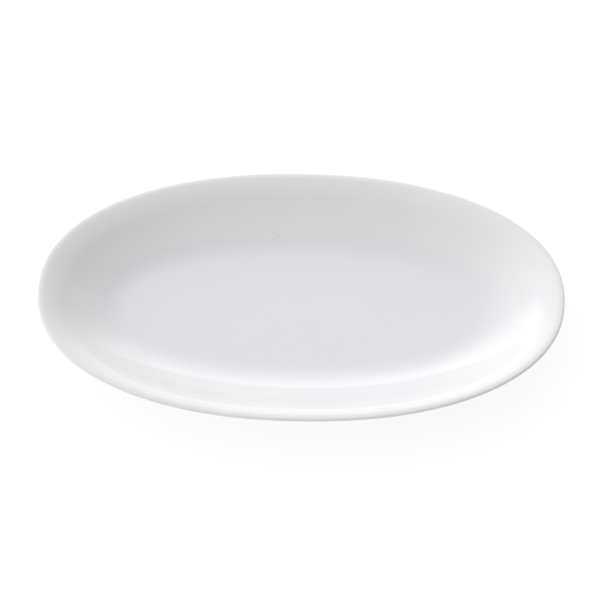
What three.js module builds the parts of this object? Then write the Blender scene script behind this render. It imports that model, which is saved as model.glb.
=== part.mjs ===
// Oval serving platter in glazed porcelain, at its real size in millimetres, +Z up.
// The foot ring stands on z = 0, with the oval's centre at the origin and its length along X.
import * as THREE from "three";
import { mergeGeometries, mergeVertices } from "three/addons/utils/BufferGeometryUtils.js";

const { PI, atan2, cos, sin, sqrt } = Math;
const radians = THREE.MathUtils.degToRad;

// Driving dimensions: finished sizes, measured over the glaze
const LENGTH = 240;
const WIDTH = 139;
const HEIGHT = 21;
const OVAL_POWER = 2.17; // 2 is a plain ellipse, and more gives blunter ends
const WELL_RADIUS = 34; // sweep from the floor of the well up into the wall
const WELL_SLOPE = radians(19); // where the sweep eases into the wall's longer curve
const WALL_SLOPE = radians(30); // steepest part of the wall, and of the underside below it
const FLARE_RADIUS = 44; // turn outwards from there towards the lip
const FLARE_SLOPE = radians(17); // where the flare rolls over into the lip
const CROWN_RADIUS = 6.5; // top of the lip
const CROWN_LEAN = radians(4); // how far the crown carries on over the top
const EDGE_RADIUS = 0.9; // outer edge of the lip, round to the underside
const FLOOR_THICKNESS = 4.5;
const FOOT_HEIGHT = 3; // depth of the recessed base inside the foot ring
const FOOT_WIDTH = 4; // flat of the foot ring that meets the table
const FOOT_OFFSET = 7; // from the edge of the flat floor out to the middle of the foot ring
const FOOT_DRAFT = radians(12); // lean of the foot ring's two sides
const FOOT_EDGE_RADIUS = 0.8;
const FOOT_FILLET_RADIUS = 1.2; // where the foot ring grows out of the underside
const BARE_BAND = 0.6; // wiped clay on the foot's sides, between its rounded edge and the glaze
const GLAZE_THICKNESS = 0.3;

// Fineness of the facets
const AROUND = 56;
const ARC_STEP = radians(20);
const ARC_STEPS_MIN = 3;

// Finishes
const biscuit = new THREE.MeshStandardMaterial({
  name: "unglazed porcelain",
  color: 0xe8e4dc,
  roughness: 0.75,
  metalness: 0,
});
const glaze = new THREE.MeshStandardMaterial({
  name: "clear glaze on white porcelain",
  color: 0xf0f0f2,
  roughness: 0.12,
  metalness: 0,
});

// The section is drawn as inset, measured in from the lip's outermost edge, against height.
// It is followed from the floor of the well out over the lip and back underneath to the base.
const UP = PI / 2;
const DOWN = -PI / 2;
const floorTop = FOOT_HEIGHT + FLOOR_THICKNESS;
const underRadius = WELL_RADIUS + FLOOR_THICKNESS;

// Unit normal of a face that rises outwards at a slope
function lean(slope) {
  return new THREE.Vector2(sin(slope), cos(slope));
}

// Centre of the round that carries on from another one, where the two share a slope.
// A round that bulges has its radius positive, and a hollow one has it negative.
function carryOn(centre, radius, nextRadius, slope) {
  return centre.clone().addScaledVector(lean(slope), radius - nextRadius);
}

// The wall's longer curve takes up the height that the other rounds leave
function wallCurveRadius() {
  const crownFall = CROWN_RADIUS * (1 - cos(FLARE_SLOPE));
  const flareFall = FLARE_RADIUS * (cos(FLARE_SLOPE) - cos(WALL_SLOPE));
  const wellFall = WELL_RADIUS * (1 - cos(WELL_SLOPE));
  const wallFall = HEIGHT - floorTop - crownFall - flareFall - wellFall;
  return wallFall / (cos(WELL_SLOPE) - cos(WALL_SLOPE));
}

const wallRadius = wallCurveRadius();
const crownCentre = new THREE.Vector2(
  EDGE_RADIUS + (CROWN_RADIUS - EDGE_RADIUS) * sin(CROWN_LEAN),
  HEIGHT - CROWN_RADIUS,
);
const edgeCentre = carryOn(crownCentre, CROWN_RADIUS, EDGE_RADIUS, -CROWN_LEAN);
const flareCentre = carryOn(crownCentre, CROWN_RADIUS, FLARE_RADIUS, FLARE_SLOPE);
const wallCentre = carryOn(flareCentre, FLARE_RADIUS, -wallRadius, WALL_SLOPE);
const wellCentre = carryOn(wallCentre, -wallRadius, -WELL_RADIUS, WELL_SLOPE);

// Centre of the sweep that joins the level underside to its straight slope below the lip
function undersideCentre() {
  const height = FOOT_HEIGHT + underRadius;
  const reach = underRadius - EDGE_RADIUS - (height - edgeCentre.y) * cos(WALL_SLOPE);
  return new THREE.Vector2(edgeCentre.x + reach / sin(WALL_SLOPE), height);
}

const underCentre = undersideCentre();

// Foot ring: its two rounded edges, and points set off from their centres along and up its leaning sides
const OUTER = -1;
const INNER = 1;
const footMiddle = wellCentre.x - FOOT_OFFSET;
const footEdges = {
  [OUTER]: new THREE.Vector2(footMiddle - FOOT_WIDTH / 2, FOOT_EDGE_RADIUS),
  [INNER]: new THREE.Vector2(footMiddle + FOOT_WIDTH / 2, FOOT_EDGE_RADIUS),
};

function besideFoot(side, out, up) {
  const edge = footEdges[side];
  const inset = edge.x + side * (out * cos(FOOT_DRAFT) + up * sin(FOOT_DRAFT));
  return new THREE.Vector2(inset, edge.y - out * sin(FOOT_DRAFT) + up * cos(FOOT_DRAFT));
}

// Where the glaze stops on a side of the foot, at a depth below the finished surface
function glazeLine(side, depth) {
  return besideFoot(side, FOOT_EDGE_RADIUS + GLAZE_THICKNESS - depth, BARE_BAND);
}

// The foot's fillets leave some of each glazed side straight
const FILLET_SHARE_MAX = 0.7;
const glazedSide = FOOT_HEIGHT - glazeLine(INNER, 0).y;
const footFillet = Math.min(FOOT_FILLET_RADIUS, FILLET_SHARE_MAX * glazedSide);
const filletOut = FOOT_EDGE_RADIUS + GLAZE_THICKNESS + footFillet;

// Outside the foot the fillet's circle touches both the foot's side and the sweep of the underside
function heelFilletCentre() {
  const start = besideFoot(OUTER, filletOut, 0);
  const rise = new THREE.Vector2(-sin(FOOT_DRAFT), cos(FOOT_DRAFT));
  const reach = start.clone().sub(underCentre);
  const along = reach.dot(rise);
  const up = -along - sqrt(along ** 2 - reach.lengthSq() + (underRadius + footFillet) ** 2);
  return besideFoot(OUTER, filletOut, up);
}

// Inside the foot it touches the foot's side and the level base
function baseFilletCentre() {
  const start = besideFoot(INNER, filletOut, 0);
  const up = (FOOT_HEIGHT - footFillet - start.y) / cos(FOOT_DRAFT);
  return besideFoot(INNER, filletOut, up);
}

const heelCentre = heelFilletCentre();
const heelAngle = atan2(heelCentre.y - underCentre.y, heelCentre.x - underCentre.x);
const baseCentre = baseFilletCentre();

function arc(centre, radius, from, to) {
  const steps = Math.max(ARC_STEPS_MIN, Math.ceil(Math.abs(to - from) / ARC_STEP));
  return new THREE.ArcCurve(centre.x, centre.y, radius, from, to, to < from).getPoints(steps);
}

// Well, wall, lip and underside, from the edge of the flat floor to the glaze line outside the foot.
// Depth 0 is the finished surface, and the glaze's thickness is the clay under it.
function eatingFace(depth) {
  return [
    ...arc(wellCentre, WELL_RADIUS + depth, DOWN, DOWN - WELL_SLOPE),
    ...arc(wallCentre, wallRadius + depth, DOWN - WELL_SLOPE, DOWN - WALL_SLOPE).slice(1),
    ...arc(flareCentre, FLARE_RADIUS - depth, UP - WALL_SLOPE, UP - FLARE_SLOPE).slice(1),
    ...arc(crownCentre, CROWN_RADIUS - depth, UP - FLARE_SLOPE, UP + CROWN_LEAN).slice(1),
    ...arc(edgeCentre, EDGE_RADIUS - depth, UP + CROWN_LEAN, 1.5 * PI - WALL_SLOPE).slice(1),
    ...arc(underCentre, underRadius - depth, DOWN - WALL_SLOPE, heelAngle),
    ...arc(heelCentre, footFillet + depth, heelAngle + PI, FOOT_DRAFT).slice(1),
    glazeLine(OUTER, depth),
  ];
}

// Bare foot ring, between its two glaze lines
function bareFoot() {
  return [
    ...arc(footEdges[OUTER], FOOT_EDGE_RADIUS, PI + FOOT_DRAFT, 1.5 * PI),
    ...arc(footEdges[INNER], FOOT_EDGE_RADIUS, 1.5 * PI, 2 * PI - FOOT_DRAFT),
  ];
}

// Recessed base, from the glaze line inside the foot to the edge of its flat
function baseFace(depth) {
  return [
    glazeLine(INNER, depth),
    ...arc(baseCentre, footFillet + depth, PI - FOOT_DRAFT, UP),
  ];
}

// Ring of points round the platter at one point of the section: an oval set in evenly from the lip
function ovalRing(point) {
  const halfLength = LENGTH / 2 - point.x;
  const halfWidth = WIDTH / 2 - point.x;
  const swell = (share) => Math.sign(share) * Math.abs(share) ** (2 / OVAL_POWER);
  const ring = [];
  for (let i = 0; i < AROUND; i++) {
    const turn = (2 * PI * i) / AROUND;
    ring.push(halfLength * swell(cos(turn)), halfWidth * swell(sin(turn)), point.y);
  }
  return ring;
}

// Surface through the rings of a section, closed level to the platter's centre at either end if asked.
// It faces out of the clay, or into it when turned.
function surface(section, { centreFirst = false, centreLast = false, turned = false } = {}) {
  const positions = section.flatMap(ovalRing);
  const corner = (row, i) => row * AROUND + (i % AROUND);
  const faces = [];
  const lastRow = section.length - 1;
  for (let row = 0; row < lastRow; row++) {
    for (let i = 0; i < AROUND; i++) {
      faces.push(corner(row, i), corner(row + 1, i), corner(row, i + 1));
      faces.push(corner(row, i + 1), corner(row + 1, i), corner(row + 1, i + 1));
    }
  }
  if (centreFirst) {
    const centre = positions.push(0, 0, section[0].y) / 3 - 1;
    for (let i = 0; i < AROUND; i++) faces.push(centre, corner(0, i), corner(0, i + 1));
  }
  if (centreLast) {
    const centre = positions.push(0, 0, section[lastRow].y) / 3 - 1;
    for (let i = 0; i < AROUND; i++) faces.push(centre, corner(lastRow, i + 1), corner(lastRow, i));
  }
  const geometry = new THREE.BufferGeometry();
  geometry.setAttribute("position", new THREE.Float32BufferAttribute(positions, 3));
  geometry.setIndex(turned ? faces.reverse() : faces);
  return geometry;
}

function piece(name, material, surfaces) {
  const geometry = mergeVertices(mergeGeometries(surfaces));
  geometry.computeVertexNormals();
  const mesh = new THREE.Mesh(geometry, material);
  mesh.name = name;
  return mesh;
}

// Fired clay body: well, wall, thin lip, underside and foot ring in one
function porcelainBody() {
  const section = [...eatingFace(GLAZE_THICKNESS), ...bareFoot(), ...baseFace(GLAZE_THICKNESS)];
  return piece("porcelain_body", biscuit, [surface(section, { centreFirst: true, centreLast: true })]);
}

// Glaze over the eating face, lip and underside, ending on the outside of the foot
function glazeCoat() {
  const finished = eatingFace(0);
  const clay = eatingFace(GLAZE_THICKNESS);
  return piece("glaze_coat", glaze, [
    surface(finished, { centreFirst: true }),
    surface([finished.at(-1), clay.at(-1)]),
    surface(clay, { centreFirst: true, turned: true }),
  ]);
}

// Pool of glaze on the recessed base, cut off from the rest by the wiped foot
function baseGlaze() {
  const finished = baseFace(0);
  const clay = baseFace(GLAZE_THICKNESS);
  return piece("base_glaze", glaze, [
    surface([clay[0], finished[0]]),
    surface(finished, { centreLast: true }),
    surface(clay, { centreLast: true, turned: true }),
  ]);
}

const platter = new THREE.Group();
platter.name = "platter";
platter.add(porcelainBody(), glazeCoat(), baseGlaze());

export default platter;
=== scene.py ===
# Oval porcelain platter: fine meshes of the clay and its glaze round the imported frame, in studio light
from math import atan2, ceil, cos, copysign, pi, radians, sin, sqrt

import bpy
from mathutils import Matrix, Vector


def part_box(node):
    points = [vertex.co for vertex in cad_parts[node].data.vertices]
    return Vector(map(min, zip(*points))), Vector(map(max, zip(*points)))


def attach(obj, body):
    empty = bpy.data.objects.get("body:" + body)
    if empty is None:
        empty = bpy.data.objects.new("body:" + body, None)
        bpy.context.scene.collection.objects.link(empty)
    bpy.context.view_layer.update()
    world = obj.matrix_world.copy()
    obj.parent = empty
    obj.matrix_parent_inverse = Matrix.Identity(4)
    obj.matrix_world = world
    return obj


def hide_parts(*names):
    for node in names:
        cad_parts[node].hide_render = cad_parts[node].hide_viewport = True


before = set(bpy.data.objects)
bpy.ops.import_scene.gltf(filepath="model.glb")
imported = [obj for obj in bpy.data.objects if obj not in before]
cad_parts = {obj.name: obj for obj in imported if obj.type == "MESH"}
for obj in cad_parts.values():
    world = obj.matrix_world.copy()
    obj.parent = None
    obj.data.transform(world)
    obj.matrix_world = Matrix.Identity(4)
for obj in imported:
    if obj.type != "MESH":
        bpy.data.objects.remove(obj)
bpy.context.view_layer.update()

MM = 0.001
ORIGIN = (0.0, 0.0, 0.0)

# Finished sizes over the glaze: the oval and the height come from the frame
HALF_LENGTH, HALF_WIDTH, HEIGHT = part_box("glaze_coat")[1]
OVAL_POWER = 2.17  # 2 is a plain ellipse, and more gives blunter ends
WELL_RADIUS = 34 * MM  # sweep up from the floor of the well
WELL_SLOPE = radians(19)  # where the sweep eases into the longer curve of the wall
WALL_SLOPE = radians(30)  # steepest part of the wall, and of the underside below it
FLARE_RADIUS = 44 * MM  # turn outwards from there towards the lip
FLARE_SLOPE = radians(17)  # where the flare rolls over into the lip
CROWN_RADIUS = 6.5 * MM  # top of the lip
CROWN_LEAN = radians(4)  # how far the crown carries on over the top
EDGE_RADIUS = 0.9 * MM
FLOOR_THICKNESS = 4.5 * MM
FOOT_HEIGHT = 3 * MM
FOOT_WIDTH = 4 * MM
FOOT_OFFSET = 7 * MM  # from the edge of the flat floor out to the middle of the foot ring
FOOT_DRAFT = radians(12)
FOOT_EDGE_RADIUS = 0.8 * MM
FOOT_FILLET = 1.2 * MM
BARE_BAND = 0.6 * MM  # wiped clay on the foot's sides, below the glaze
GLAZE = 0.3 * MM

# Fineness of the meshes
AROUND = 240
ARC_TURN = radians(6)
ARC_STEPS_MIN = 12
FLAT_SHARES = (0.2, 0.4, 0.6, 0.8)  # rings that break up a flat oval, as shares of it
SHARP_ANGLE = radians(50)

# The section is drawn as inset from the lip's outermost edge against height
UP, DOWN = pi / 2, -pi / 2
ROUND_TO_DOWN = 1.5 * pi  # straight down, reached the long way round
FULL_TURN = 2 * pi
FLOOR_TOP = FOOT_HEIGHT + FLOOR_THICKNESS
UNDER_RADIUS = WELL_RADIUS + FLOOR_THICKNESS


def lean(slope):
    """Unit normal of a face that rises outwards at a slope."""
    return Vector((sin(slope), cos(slope)))


def carry_on(centre, radius, next_radius, slope):
    """Centre of the round that carries on from another at a slope they share.

    A hollow round has a negative radius.
    """
    return centre + (radius - next_radius) * lean(slope)


def wall_radius():
    """Radius of the wall's longer curve, which takes up the height that the other rounds leave."""
    crown_fall = CROWN_RADIUS * (1 - cos(FLARE_SLOPE))
    flare_fall = FLARE_RADIUS * (cos(FLARE_SLOPE) - cos(WALL_SLOPE))
    well_fall = WELL_RADIUS * (1 - cos(WELL_SLOPE))
    wall_fall = HEIGHT - FLOOR_TOP - crown_fall - flare_fall - well_fall
    return wall_fall / (cos(WELL_SLOPE) - cos(WALL_SLOPE))


WALL_RADIUS = wall_radius()
CROWN_INSET = EDGE_RADIUS + (CROWN_RADIUS - EDGE_RADIUS) * sin(CROWN_LEAN)
CROWN_CENTRE = Vector((CROWN_INSET, HEIGHT - CROWN_RADIUS))
EDGE_CENTRE = carry_on(CROWN_CENTRE, CROWN_RADIUS, EDGE_RADIUS, -CROWN_LEAN)
FLARE_CENTRE = carry_on(CROWN_CENTRE, CROWN_RADIUS, FLARE_RADIUS, FLARE_SLOPE)
WALL_CENTRE = carry_on(FLARE_CENTRE, FLARE_RADIUS, -WALL_RADIUS, WALL_SLOPE)
WELL_CENTRE = carry_on(WALL_CENTRE, -WALL_RADIUS, -WELL_RADIUS, WELL_SLOPE)


def under_centre():
    """Centre of the sweep from the level underside into its straight slope below the lip."""
    height = FOOT_HEIGHT + UNDER_RADIUS
    reach = UNDER_RADIUS - EDGE_RADIUS - (height - EDGE_CENTRE.y) * cos(WALL_SLOPE)
    return Vector((EDGE_CENTRE.x + reach / sin(WALL_SLOPE), height))


UNDER_CENTRE = under_centre()

# Foot ring: the centres of its two rounded edges, and the side that each stands on
OUTER, INNER = -1, 1
FOOT_EDGES = {
    side: Vector((WELL_CENTRE.x - FOOT_OFFSET + side * FOOT_WIDTH / 2, FOOT_EDGE_RADIUS))
    for side in (OUTER, INNER)
}


def beside_foot(side, out, up):
    """Point set off from a foot edge's centre, out from the foot's leaning side and up along it."""
    edge = FOOT_EDGES[side]
    inset = edge.x + side * (out * cos(FOOT_DRAFT) + up * sin(FOOT_DRAFT))
    return Vector((inset, edge.y - out * sin(FOOT_DRAFT) + up * cos(FOOT_DRAFT)))


def heel_centre(out):
    """Centre of the fillet between the underside's sweep and the outside of the foot."""
    start = beside_foot(OUTER, out, 0)
    reach = start - UNDER_CENTRE
    along = reach.dot(Vector((-sin(FOOT_DRAFT), cos(FOOT_DRAFT))))
    up = -along - sqrt(along**2 - reach.length_squared + (UNDER_RADIUS + FOOT_FILLET) ** 2)
    return beside_foot(OUTER, out, up)


def base_centre(out):
    """Centre of the fillet between the inside of the foot and the level base."""
    start = beside_foot(INNER, out, 0)
    return beside_foot(INNER, out, (FOOT_HEIGHT - FOOT_FILLET - start.y) / cos(FOOT_DRAFT))


FILLET_OUT = FOOT_EDGE_RADIUS + GLAZE + FOOT_FILLET
HEEL_CENTRE = heel_centre(FILLET_OUT)
HEEL_ANGLE = atan2(HEEL_CENTRE.y - UNDER_CENTRE.y, HEEL_CENTRE.x - UNDER_CENTRE.x)
BASE_CENTRE = base_centre(FILLET_OUT)


def arc(centre, radius, start, end):
    """Points along a round, from one angle to another."""
    steps = max(ARC_STEPS_MIN, ceil(abs(end - start) / ARC_TURN))
    turns = [start + (end - start) * i / steps for i in range(steps + 1)]
    return [centre + radius * Vector((cos(turn), sin(turn))) for turn in turns]


def eating_face(depth):
    """Section of well, wall, lip and underside, at a depth below the finished face.

    It ends on the outside of the foot, above the glaze's edge.
    """
    return [
        *arc(WELL_CENTRE, WELL_RADIUS + depth, DOWN, DOWN - WELL_SLOPE),
        *arc(WALL_CENTRE, WALL_RADIUS + depth, DOWN - WELL_SLOPE, DOWN - WALL_SLOPE)[1:],
        *arc(FLARE_CENTRE, FLARE_RADIUS - depth, UP - WALL_SLOPE, UP - FLARE_SLOPE)[1:],
        *arc(CROWN_CENTRE, CROWN_RADIUS - depth, UP - FLARE_SLOPE, UP + CROWN_LEAN)[1:],
        *arc(EDGE_CENTRE, EDGE_RADIUS - depth, UP + CROWN_LEAN, ROUND_TO_DOWN - WALL_SLOPE)[1:],
        *arc(UNDER_CENTRE, UNDER_RADIUS - depth, DOWN - WALL_SLOPE, HEEL_ANGLE),
        *arc(HEEL_CENTRE, FOOT_FILLET + depth, HEEL_ANGLE + pi, FOOT_DRAFT)[1:],
    ]


def base_face(depth):
    """Section of the recessed base, from the foot's side to the edge of its flat."""
    return arc(BASE_CENTRE, FOOT_FILLET + depth, pi - FOOT_DRAFT, UP)


def glaze_bead(side):
    """Section of the glaze's rounded edge on a side of the foot, from the clay outwards."""
    centre = beside_foot(side, FOOT_EDGE_RADIUS + GLAZE / 2, BARE_BAND + GLAZE / 2)
    if side == OUTER:
        return arc(centre, GLAZE / 2, FOOT_DRAFT, FOOT_DRAFT - pi)
    return arc(centre, GLAZE / 2, pi - FOOT_DRAFT, FULL_TURN - FOOT_DRAFT)


def bare_foot():
    """Section of the foot ring's two wiped edges and the flat between them."""
    return [
        *arc(FOOT_EDGES[OUTER], FOOT_EDGE_RADIUS, pi + FOOT_DRAFT, ROUND_TO_DOWN),
        *arc(FOOT_EDGES[INNER], FOOT_EDGE_RADIUS, ROUND_TO_DOWN, FULL_TURN - FOOT_DRAFT),
    ]


def ring(point, share=1.0):
    """Half length, half width and height of the oval at a point, or of a share of it."""
    return Vector((share * (HALF_LENGTH - point.x), share * (HALF_WIDTH - point.x), point.y))


def flat_rings(point):
    """Rings that break up the flat oval inside a point of the section, from the middle outwards."""
    return [ring(point, share) for share in FLAT_SHARES]


def swell(share):
    """Place along a circle's axis, pushed out to that of the blunter oval."""
    return copysign(abs(share) ** (2 / OVAL_POWER), share)


def model_ovals(name, rings):
    """A closed solid: an oval edge loop, extruded and resized from ring to ring.

    It is closed at the middle of its first ring and of its last.
    """
    bpy.ops.object.select_all(action="DESELECT")
    bpy.ops.mesh.primitive_circle_add(vertices=AROUND, radius=1.0, fill_type="TRIFAN")
    piece = bpy.context.active_object
    piece.name = piece.data.name = name
    for vertex in piece.data.vertices:
        vertex.co.x = swell(vertex.co.x)
        vertex.co.y = swell(vertex.co.y)
    bpy.ops.object.mode_set(mode="EDIT")
    bpy.ops.mesh.select_all(action="SELECT")
    bpy.ops.transform.resize(value=(rings[0].x, rings[0].y, 1.0), center_override=ORIGIN)
    bpy.ops.transform.translate(value=(0.0, 0.0, rings[0].z))
    bpy.ops.mesh.region_to_loop()
    for last, following in zip(rings, rings[1:]):
        bpy.ops.mesh.extrude_region_move(
            TRANSFORM_OT_translate={"value": (0.0, 0.0, following.z - last.z)}
        )
        growth = (following.x / last.x, following.y / last.y, 1.0)
        bpy.ops.transform.resize(value=growth, center_override=ORIGIN)
    bpy.ops.mesh.edge_face_add()
    bpy.ops.mesh.poke()
    bpy.ops.mesh.select_all(action="SELECT")
    bpy.ops.mesh.normals_make_consistent(inside=False)
    bpy.ops.object.mode_set(mode="OBJECT")
    bpy.ops.object.shade_smooth_by_angle(angle=SHARP_ANGLE)
    return piece


def model_clay_body():
    """Fired body: well, wall, lip, underside, bare foot ring and base."""
    face, base = eating_face(GLAZE), base_face(GLAZE)
    section = [*face, *bare_foot(), *base]
    rings = [*flat_rings(face[0]), *map(ring, section), *reversed(flat_rings(base[-1]))]
    return model_ovals("clay_body", rings)


def model_glazed_face():
    """Glaze over the eating face, lip and underside, with its bead on the foot and its back."""
    finished, back = eating_face(0.0), eating_face(GLAZE)
    section = [*finished, *reversed(glaze_bead(OUTER)), *reversed(back)]
    rings = [*flat_rings(finished[0]), *map(ring, section), *reversed(flat_rings(back[0]))]
    return model_ovals("glazed_face", rings)


def model_glazed_base():
    """Glaze on the recessed base, out to its bead inside the foot."""
    finished, back = base_face(0.0), base_face(GLAZE)
    section = [*reversed(back), *glaze_bead(INNER), *finished]
    rings = [*flat_rings(back[-1]), *map(ring, section), *reversed(flat_rings(finished[-1]))]
    return model_ovals("glazed_base", rings)


def linear(hex_colour):
    """Linear RGBA of an sRGB hex value."""
    shares = [int(hex_colour[i : i + 2], 16) / 255 for i in (0, 2, 4)]
    curve = [s / 12.92 if s <= 0.04045 else ((s + 0.055) / 1.055) ** 2.4 for s in shares]
    return (*curve, 1.0)


def add_node(tree, kind, inputs=None, **settings):
    """Add a node, set its properties, and link or set its inputs."""
    made = tree.nodes.new(kind)
    for key, value in settings.items():
        setattr(made, key, value)
    for socket, value in (inputs or {}).items():
        if isinstance(value, bpy.types.NodeSocket):
            tree.links.new(value, made.inputs[socket])
        else:
            made.inputs[socket].default_value = value
    return made


# Colour sockets of a Mix node
MIX_A, MIX_B, MIX_RESULT = 6, 7, 2


def new_material(name):
    """A material with an empty node tree, and that tree."""
    material = bpy.data.materials.new(name)
    material.use_nodes = True
    material.node_tree.nodes.clear()
    return material, material.node_tree


def size_of(length):
    """Texture scale that gives features of a real length, in Object coordinates."""
    return 1.0 / length


# Glaze: clear feldspar glass melted on white porcelain. It gives a wet gloss with slightly wavy
# reflections, a faint cool cast where it lies thick in the well, and a rare pinhole speck.
GLAZE_POOLED = "E7E6EA"
GLAZE_THIN = "EDEDED"
GLAZE_CLOUD = "E5E5E6"
SPECK = "4A463F"
POOL_DEPTH = 5 * MM  # height over the floor of the well in which the glaze thins to that of the wall
CLOUD_SIZE = 40 * MM
WAVE_SIZE = 20 * MM
WAVE_DEPTH = 0.05 * MM
PEEL_SIZE = 2.2 * MM
PEEL_DEPTH = 0.003 * MM
SPECK_SPACING = 16 * MM
SPECK_RADIUS = 0.35 * MM
SPECK_SHIFT = Vector((46.1, -30.3, -1.74)) * MM  # puts a speck on the sweep behind the floor
SPECK_CORE = 0.5  # share of a speck's radius that is evenly dark
CLOUD_DETAIL = 3.0
SKIN_DETAIL = 1.0
CLEAR_ROUGHNESS = 0.05
CLOUDED_ROUGHNESS = 0.09
GLAZE_IOR = 1.52


def glossy_glaze():
    material, tree = new_material("clear glaze on white porcelain")
    place = add_node(tree, "ShaderNodeTexCoord").outputs["Object"]
    height = add_node(tree, "ShaderNodeSeparateXYZ", {"Vector": place}).outputs["Z"]
    thinness = add_node(
        tree,
        "ShaderNodeMapRange",
        {"Value": height, "From Min": FLOOR_TOP, "From Max": FLOOR_TOP + POOL_DEPTH},
        interpolation_type="SMOOTHSTEP",
    ).outputs["Result"]
    cloud = add_node(
        tree,
        "ShaderNodeTexNoise",
        {"Vector": place, "Scale": size_of(CLOUD_SIZE), "Detail": CLOUD_DETAIL},
    ).outputs["Fac"]
    glass = add_node(
        tree,
        "ShaderNodeMix",
        {"Factor": thinness, MIX_A: linear(GLAZE_POOLED), MIX_B: linear(GLAZE_THIN)},
        data_type="RGBA",
    ).outputs[MIX_RESULT]
    clouded = add_node(
        tree,
        "ShaderNodeMix",
        {"Factor": cloud, MIX_A: glass, MIX_B: linear(GLAZE_CLOUD)},
        data_type="RGBA",
    ).outputs[MIX_RESULT]
    speck_place = add_node(
        tree, "ShaderNodeMapping", {"Vector": place, "Location": SPECK_SHIFT}
    ).outputs["Vector"]
    specks = add_node(
        tree, "ShaderNodeTexVoronoi", {"Vector": speck_place, "Scale": size_of(SPECK_SPACING)}
    ).outputs
    darkness = add_node(tree, "ShaderNodeSeparateColor", {"Color": specks["Color"]}).outputs["Blue"]
    speck = add_node(
        tree,
        "ShaderNodeMapRange",
        {
            "Value": specks["Distance"],
            "From Min": SPECK_CORE * SPECK_RADIUS / SPECK_SPACING,
            "From Max": SPECK_RADIUS / SPECK_SPACING,
            "To Min": darkness,
            "To Max": 0.0,
        },
    ).outputs["Result"]
    colour = add_node(
        tree,
        "ShaderNodeMix",
        {"Factor": speck, MIX_A: clouded, MIX_B: linear(SPECK)},
        data_type="RGBA",
    ).outputs[MIX_RESULT]
    wave = add_node(
        tree,
        "ShaderNodeTexNoise",
        {"Vector": place, "Scale": size_of(WAVE_SIZE), "Detail": SKIN_DETAIL},
    ).outputs["Fac"]
    peel = add_node(
        tree,
        "ShaderNodeTexNoise",
        {"Vector": place, "Scale": size_of(PEEL_SIZE), "Detail": SKIN_DETAIL},
    ).outputs["Fac"]
    waves = add_node(
        tree, "ShaderNodeBump", {"Height": wave, "Distance": WAVE_DEPTH}
    ).outputs["Normal"]
    skin = add_node(
        tree, "ShaderNodeBump", {"Height": peel, "Distance": PEEL_DEPTH, "Normal": waves}
    ).outputs["Normal"]
    gloss = add_node(
        tree,
        "ShaderNodeMapRange",
        {"Value": cloud, "To Min": CLEAR_ROUGHNESS, "To Max": CLOUDED_ROUGHNESS},
    ).outputs["Result"]
    shader = add_node(
        tree,
        "ShaderNodeBsdfPrincipled",
        {"Base Color": colour, "Roughness": gloss, "IOR": GLAZE_IOR, "Normal": skin},
    )
    add_node(tree, "ShaderNodeOutputMaterial", {"Surface": shader.outputs["BSDF"]})
    return material


# Unglazed porcelain: fired clay rubbed smooth on the foot ring. It gives a dry, chalky, slightly warm
# white with a fine grit and a little grey rubbed into it from shelves and tables.
CLAY = "E6E1D8"
CLAY_RUBBED = "CFC9BF"
GRIT_SIZE = 0.5 * MM  # coarser than the real grit, so that it shows
GRIT_DEPTH = 0.02 * MM
GRIT_DETAIL = 2.0
RUB_SIZE = 9 * MM
RUB_DETAIL = 5.0
RUB_START, RUB_FULL = 0.45, 0.75  # of the noise, where the grey begins and is full
CLAY_ROUGHNESS = 0.8
CLAY_IOR = 1.5


def bare_porcelain():
    material, tree = new_material("unglazed porcelain")
    place = add_node(tree, "ShaderNodeTexCoord").outputs["Object"]
    rub = add_node(
        tree,
        "ShaderNodeTexNoise",
        {"Vector": place, "Scale": size_of(RUB_SIZE), "Detail": RUB_DETAIL},
    ).outputs["Fac"]
    rubbed = add_node(
        tree, "ShaderNodeMapRange", {"Value": rub, "From Min": RUB_START, "From Max": RUB_FULL}
    ).outputs["Result"]
    colour = add_node(
        tree,
        "ShaderNodeMix",
        {"Factor": rubbed, MIX_A: linear(CLAY), MIX_B: linear(CLAY_RUBBED)},
        data_type="RGBA",
    ).outputs[MIX_RESULT]
    grit = add_node(
        tree,
        "ShaderNodeTexNoise",
        {"Vector": place, "Scale": size_of(GRIT_SIZE), "Detail": GRIT_DETAIL},
    ).outputs["Fac"]
    grain = add_node(
        tree, "ShaderNodeBump", {"Height": grit, "Distance": GRIT_DEPTH}
    ).outputs["Normal"]
    shader = add_node(
        tree,
        "ShaderNodeBsdfPrincipled",
        {"Base Color": colour, "Roughness": CLAY_ROUGHNESS, "IOR": CLAY_IOR, "Normal": grain},
    )
    add_node(tree, "ShaderNodeOutputMaterial", {"Surface": shader.outputs["BSDF"]})
    return material


def dress(piece, material, node):
    """Give a piece its finish and its place in the frame."""
    piece.data.materials.clear()
    piece.data.materials.append(material)
    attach(piece, "root")
    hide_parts(node)


glaze = glossy_glaze()
dress(model_clay_body(), bare_porcelain(), "porcelain_body")
dress(model_glazed_face(), glaze, "glaze_coat")
dress(model_glazed_base(), glaze, "base_glaze")

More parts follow.
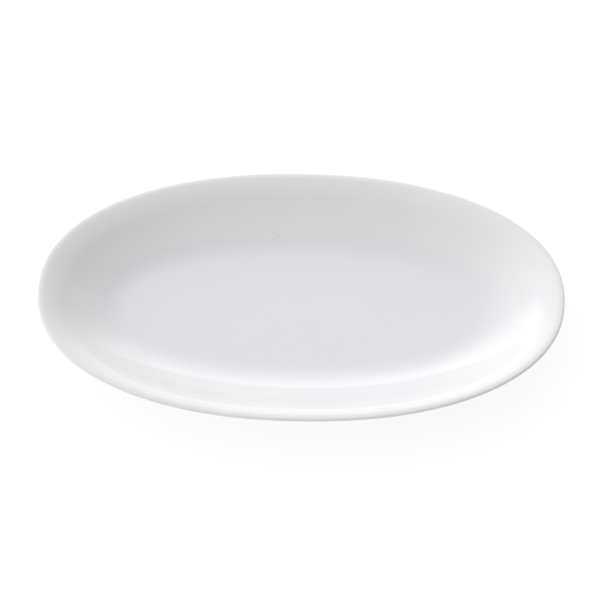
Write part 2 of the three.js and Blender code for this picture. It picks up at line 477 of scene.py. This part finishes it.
# Studio: white paper in a white room that is lighter behind and to the left, with four soft windows
# and a low bright card in front
FLOOR_SIZE = 8.0
PAPER = "FCFCFC"
PAPER_WASH = 0.84  # share of plain white in the paper as the eye sees it, which thins the shadow
PAPER_WHITE = 1.05
ROOM_LIGHT = 0.89
ROOM_TILT = 1.0  # what the lightest side of the room adds, and the darkest takes away
ROOM_AZIMUTH = radians(47.5)  # lightest side, from straight behind round to the left
ROOM_SHADE = 0.05  # the least that any side gives
LIGHT_SIDE = "FCFCFF"
DARK_SIDE = "FFFEFD"
WINDOW_DISTANCE = 2.0
SIDE_FADE = 0.35  # share of a window's width over which each side fades
PANE_MIDDLE = 0.5  # of a window, as a share of its width
WINDOWS = {
    "back_window": {
        "azimuth": radians(11), "width": 2.7, "sill": 0.44, "head": 1.7,
        "radiance": 1.3, "top_share": 0.0,
    },
    "left_window": {
        "azimuth": radians(80), "width": 1.78, "sill": 1.06, "head": 2.5,
        "radiance": 1.0, "top_share": 0.0,
    },
    "left_pane": {
        "azimuth": radians(41), "width": 0.8, "sill": 0.62, "head": 1.3,
        "radiance": 1.0, "top_share": 0.8,
    },
    "right_pane": {
        "azimuth": radians(-56), "width": 1.2, "sill": 0.8, "head": 1.8,
        "radiance": 0.2, "top_share": 0.8,
    },
    "front_card": {
        "azimuth": radians(180), "width": 4.0, "sill": 0.02, "head": 0.7,
        "radiance": 2.0, "top_share": 0.0,
    },
}


def facing(azimuth):
    """Level direction at an angle from straight behind round to the left."""
    return Vector((-sin(azimuth), cos(azimuth), 0.0))


def seen_directly(tree):
    """1 for rays that come from the eye or by way of a reflection or through glass."""
    rays = add_node(tree, "ShaderNodeLightPath").outputs
    shiny = add_node(
        tree,
        "ShaderNodeMath",
        {0: rays["Is Glossy Ray"], 1: rays["Is Transmission Ray"]},
        operation="MAXIMUM",
    ).outputs["Value"]
    return add_node(
        tree, "ShaderNodeMath", {0: rays["Is Camera Ray"], 1: shiny}, operation="MAXIMUM"
    ).outputs["Value"]


def lay_floor():
    """White paper under the platter, which keeps a thin shadow."""
    bpy.ops.object.select_all(action="DESELECT")
    bpy.ops.mesh.primitive_plane_add(size=FLOOR_SIZE)
    floor = bpy.context.active_object
    floor.name = "paper_floor"
    material, tree = new_material("white paper")
    sheet = add_node(tree, "ShaderNodeBsdfDiffuse", {"Color": linear(PAPER)}).outputs["BSDF"]
    wash = add_node(
        tree, "ShaderNodeMath", {0: seen_directly(tree), 1: PAPER_WASH}, operation="MULTIPLY"
    ).outputs["Value"]
    white = add_node(tree, "ShaderNodeEmission", {"Strength": PAPER_WHITE}).outputs["Emission"]
    washed = add_node(
        tree, "ShaderNodeMixShader", {"Fac": wash, 1: sheet, 2: white}
    ).outputs["Shader"]
    add_node(tree, "ShaderNodeOutputMaterial", {"Surface": washed})
    floor.data.materials.append(material)


def light_room():
    """White to the eye and in reflections, and lighter on one side for the soft light."""
    world = bpy.data.worlds.new("white room")
    bpy.context.scene.world = world
    world.use_nodes = True
    tree = world.node_tree
    tree.nodes.clear()
    direction = add_node(tree, "ShaderNodeTexCoord").outputs["Generated"]
    towards_light = add_node(
        tree,
        "ShaderNodeVectorMath",
        {0: direction, 1: facing(ROOM_AZIMUTH)},
        operation="DOT_PRODUCT",
    ).outputs["Value"]
    room_light = add_node(
        tree,
        "ShaderNodeMath",
        {0: towards_light, 1: ROOM_TILT, 2: ROOM_LIGHT},
        operation="MULTIPLY_ADD",
    ).outputs["Value"]
    soft_light = add_node(
        tree, "ShaderNodeMath", {0: room_light, 1: ROOM_SHADE}, operation="MAXIMUM"
    ).outputs["Value"]
    light_share = add_node(
        tree, "ShaderNodeMapRange", {"Value": towards_light, "From Min": -1.0, "From Max": 1.0}
    ).outputs["Result"]
    room_colour = add_node(
        tree,
        "ShaderNodeMix",
        {"Factor": light_share, MIX_A: linear(DARK_SIDE), MIX_B: linear(LIGHT_SIDE)},
        data_type="RGBA",
    ).outputs[MIX_RESULT]
    strength = add_node(
        tree, "ShaderNodeMix", {"Factor": seen_directly(tree), "A": soft_light, "B": 1.0}
    ).outputs["Result"]
    room = add_node(
        tree, "ShaderNodeBackground", {"Color": room_colour, "Strength": strength}
    ).outputs["Background"]
    add_node(tree, "ShaderNodeOutputWorld", {"Surface": room})


def hang_window(name, azimuth, width, sill, head, radiance, top_share):
    """A window of soft light with faded sides, brightest along its sill.

    A share of the sill's light is left at its head.
    """
    height = head - sill
    light = bpy.data.lights.new(name, "AREA")
    light.shape = "RECTANGLE"
    light.size = width
    light.size_y = height
    light.energy = pi * width * height * radiance
    light.use_nodes = True
    tree = light.node_tree
    tree.nodes.clear()
    place = add_node(tree, "ShaderNodeNewGeometry").outputs["Parametric"]
    pane = add_node(tree, "ShaderNodeSeparateXYZ", {"Vector": place}).outputs
    upward = add_node(
        tree, "ShaderNodeMapRange", {"Value": pane["Y"], "To Min": 1.0, "To Max": top_share}
    ).outputs["Result"]
    off_middle = add_node(
        tree, "ShaderNodeMath", {0: pane["X"], 1: PANE_MIDDLE}, operation="SUBTRACT"
    ).outputs["Value"]
    away = add_node(tree, "ShaderNodeMath", {0: off_middle}, operation="ABSOLUTE").outputs["Value"]
    sideways = add_node(
        tree,
        "ShaderNodeMapRange",
        {
            "Value": away,
            "From Min": PANE_MIDDLE - SIDE_FADE,
            "From Max": PANE_MIDDLE,
            "To Min": 1.0,
            "To Max": 0.0,
        },
        interpolation_type="SMOOTHSTEP",
    ).outputs["Result"]
    fade = add_node(
        tree, "ShaderNodeMath", {0: upward, 1: sideways}, operation="MULTIPLY"
    ).outputs["Value"]
    glow = add_node(tree, "ShaderNodeEmission", {"Strength": fade}).outputs["Emission"]
    add_node(tree, "ShaderNodeOutputLight", {"Surface": glow})
    window = bpy.data.objects.new(name, light)
    bpy.context.scene.collection.objects.link(window)
    outward = facing(azimuth)
    window.location = outward * WINDOW_DISTANCE + Vector((0.0, 0.0, (sill + head) / 2))
    window.rotation_euler = (-outward).to_track_quat("-Z", "Y").to_euler()
    window.visible_camera = False


# Camera: a long lens from the front, well above the table and a little to the right
CAMERA_AZIMUTH = radians(1.39)
CAMERA_ELEVATION = radians(54)
CAMERA_DISTANCE = 1.5
VIEW_WIDTH = 272.5 * MM  # what the frame takes in at the aim point
AIM = Vector((-0.25, -3.9, 21.0)) * MM
SENSOR = 36.0


def set_camera():
    camera_data = bpy.data.cameras.new("camera")
    camera_data.sensor_width = SENSOR
    camera_data.lens = SENSOR * CAMERA_DISTANCE / VIEW_WIDTH
    camera = bpy.data.objects.new("camera", camera_data)
    bpy.context.scene.collection.objects.link(camera)
    level = Vector((sin(CAMERA_AZIMUTH), -cos(CAMERA_AZIMUTH), 0.0)) * cos(CAMERA_ELEVATION)
    towards = level + Vector((0.0, 0.0, sin(CAMERA_ELEVATION)))
    camera.location = AIM + towards * CAMERA_DISTANCE
    camera.rotation_euler = (-towards).to_track_quat("-Z", "Y").to_euler()
    bpy.context.scene.camera = camera


lay_floor()
light_room()
for name, window in WINDOWS.items():
    hang_window(name, **window)
set_camera()
bpy.context.scene.view_settings.view_transform = "Standard"
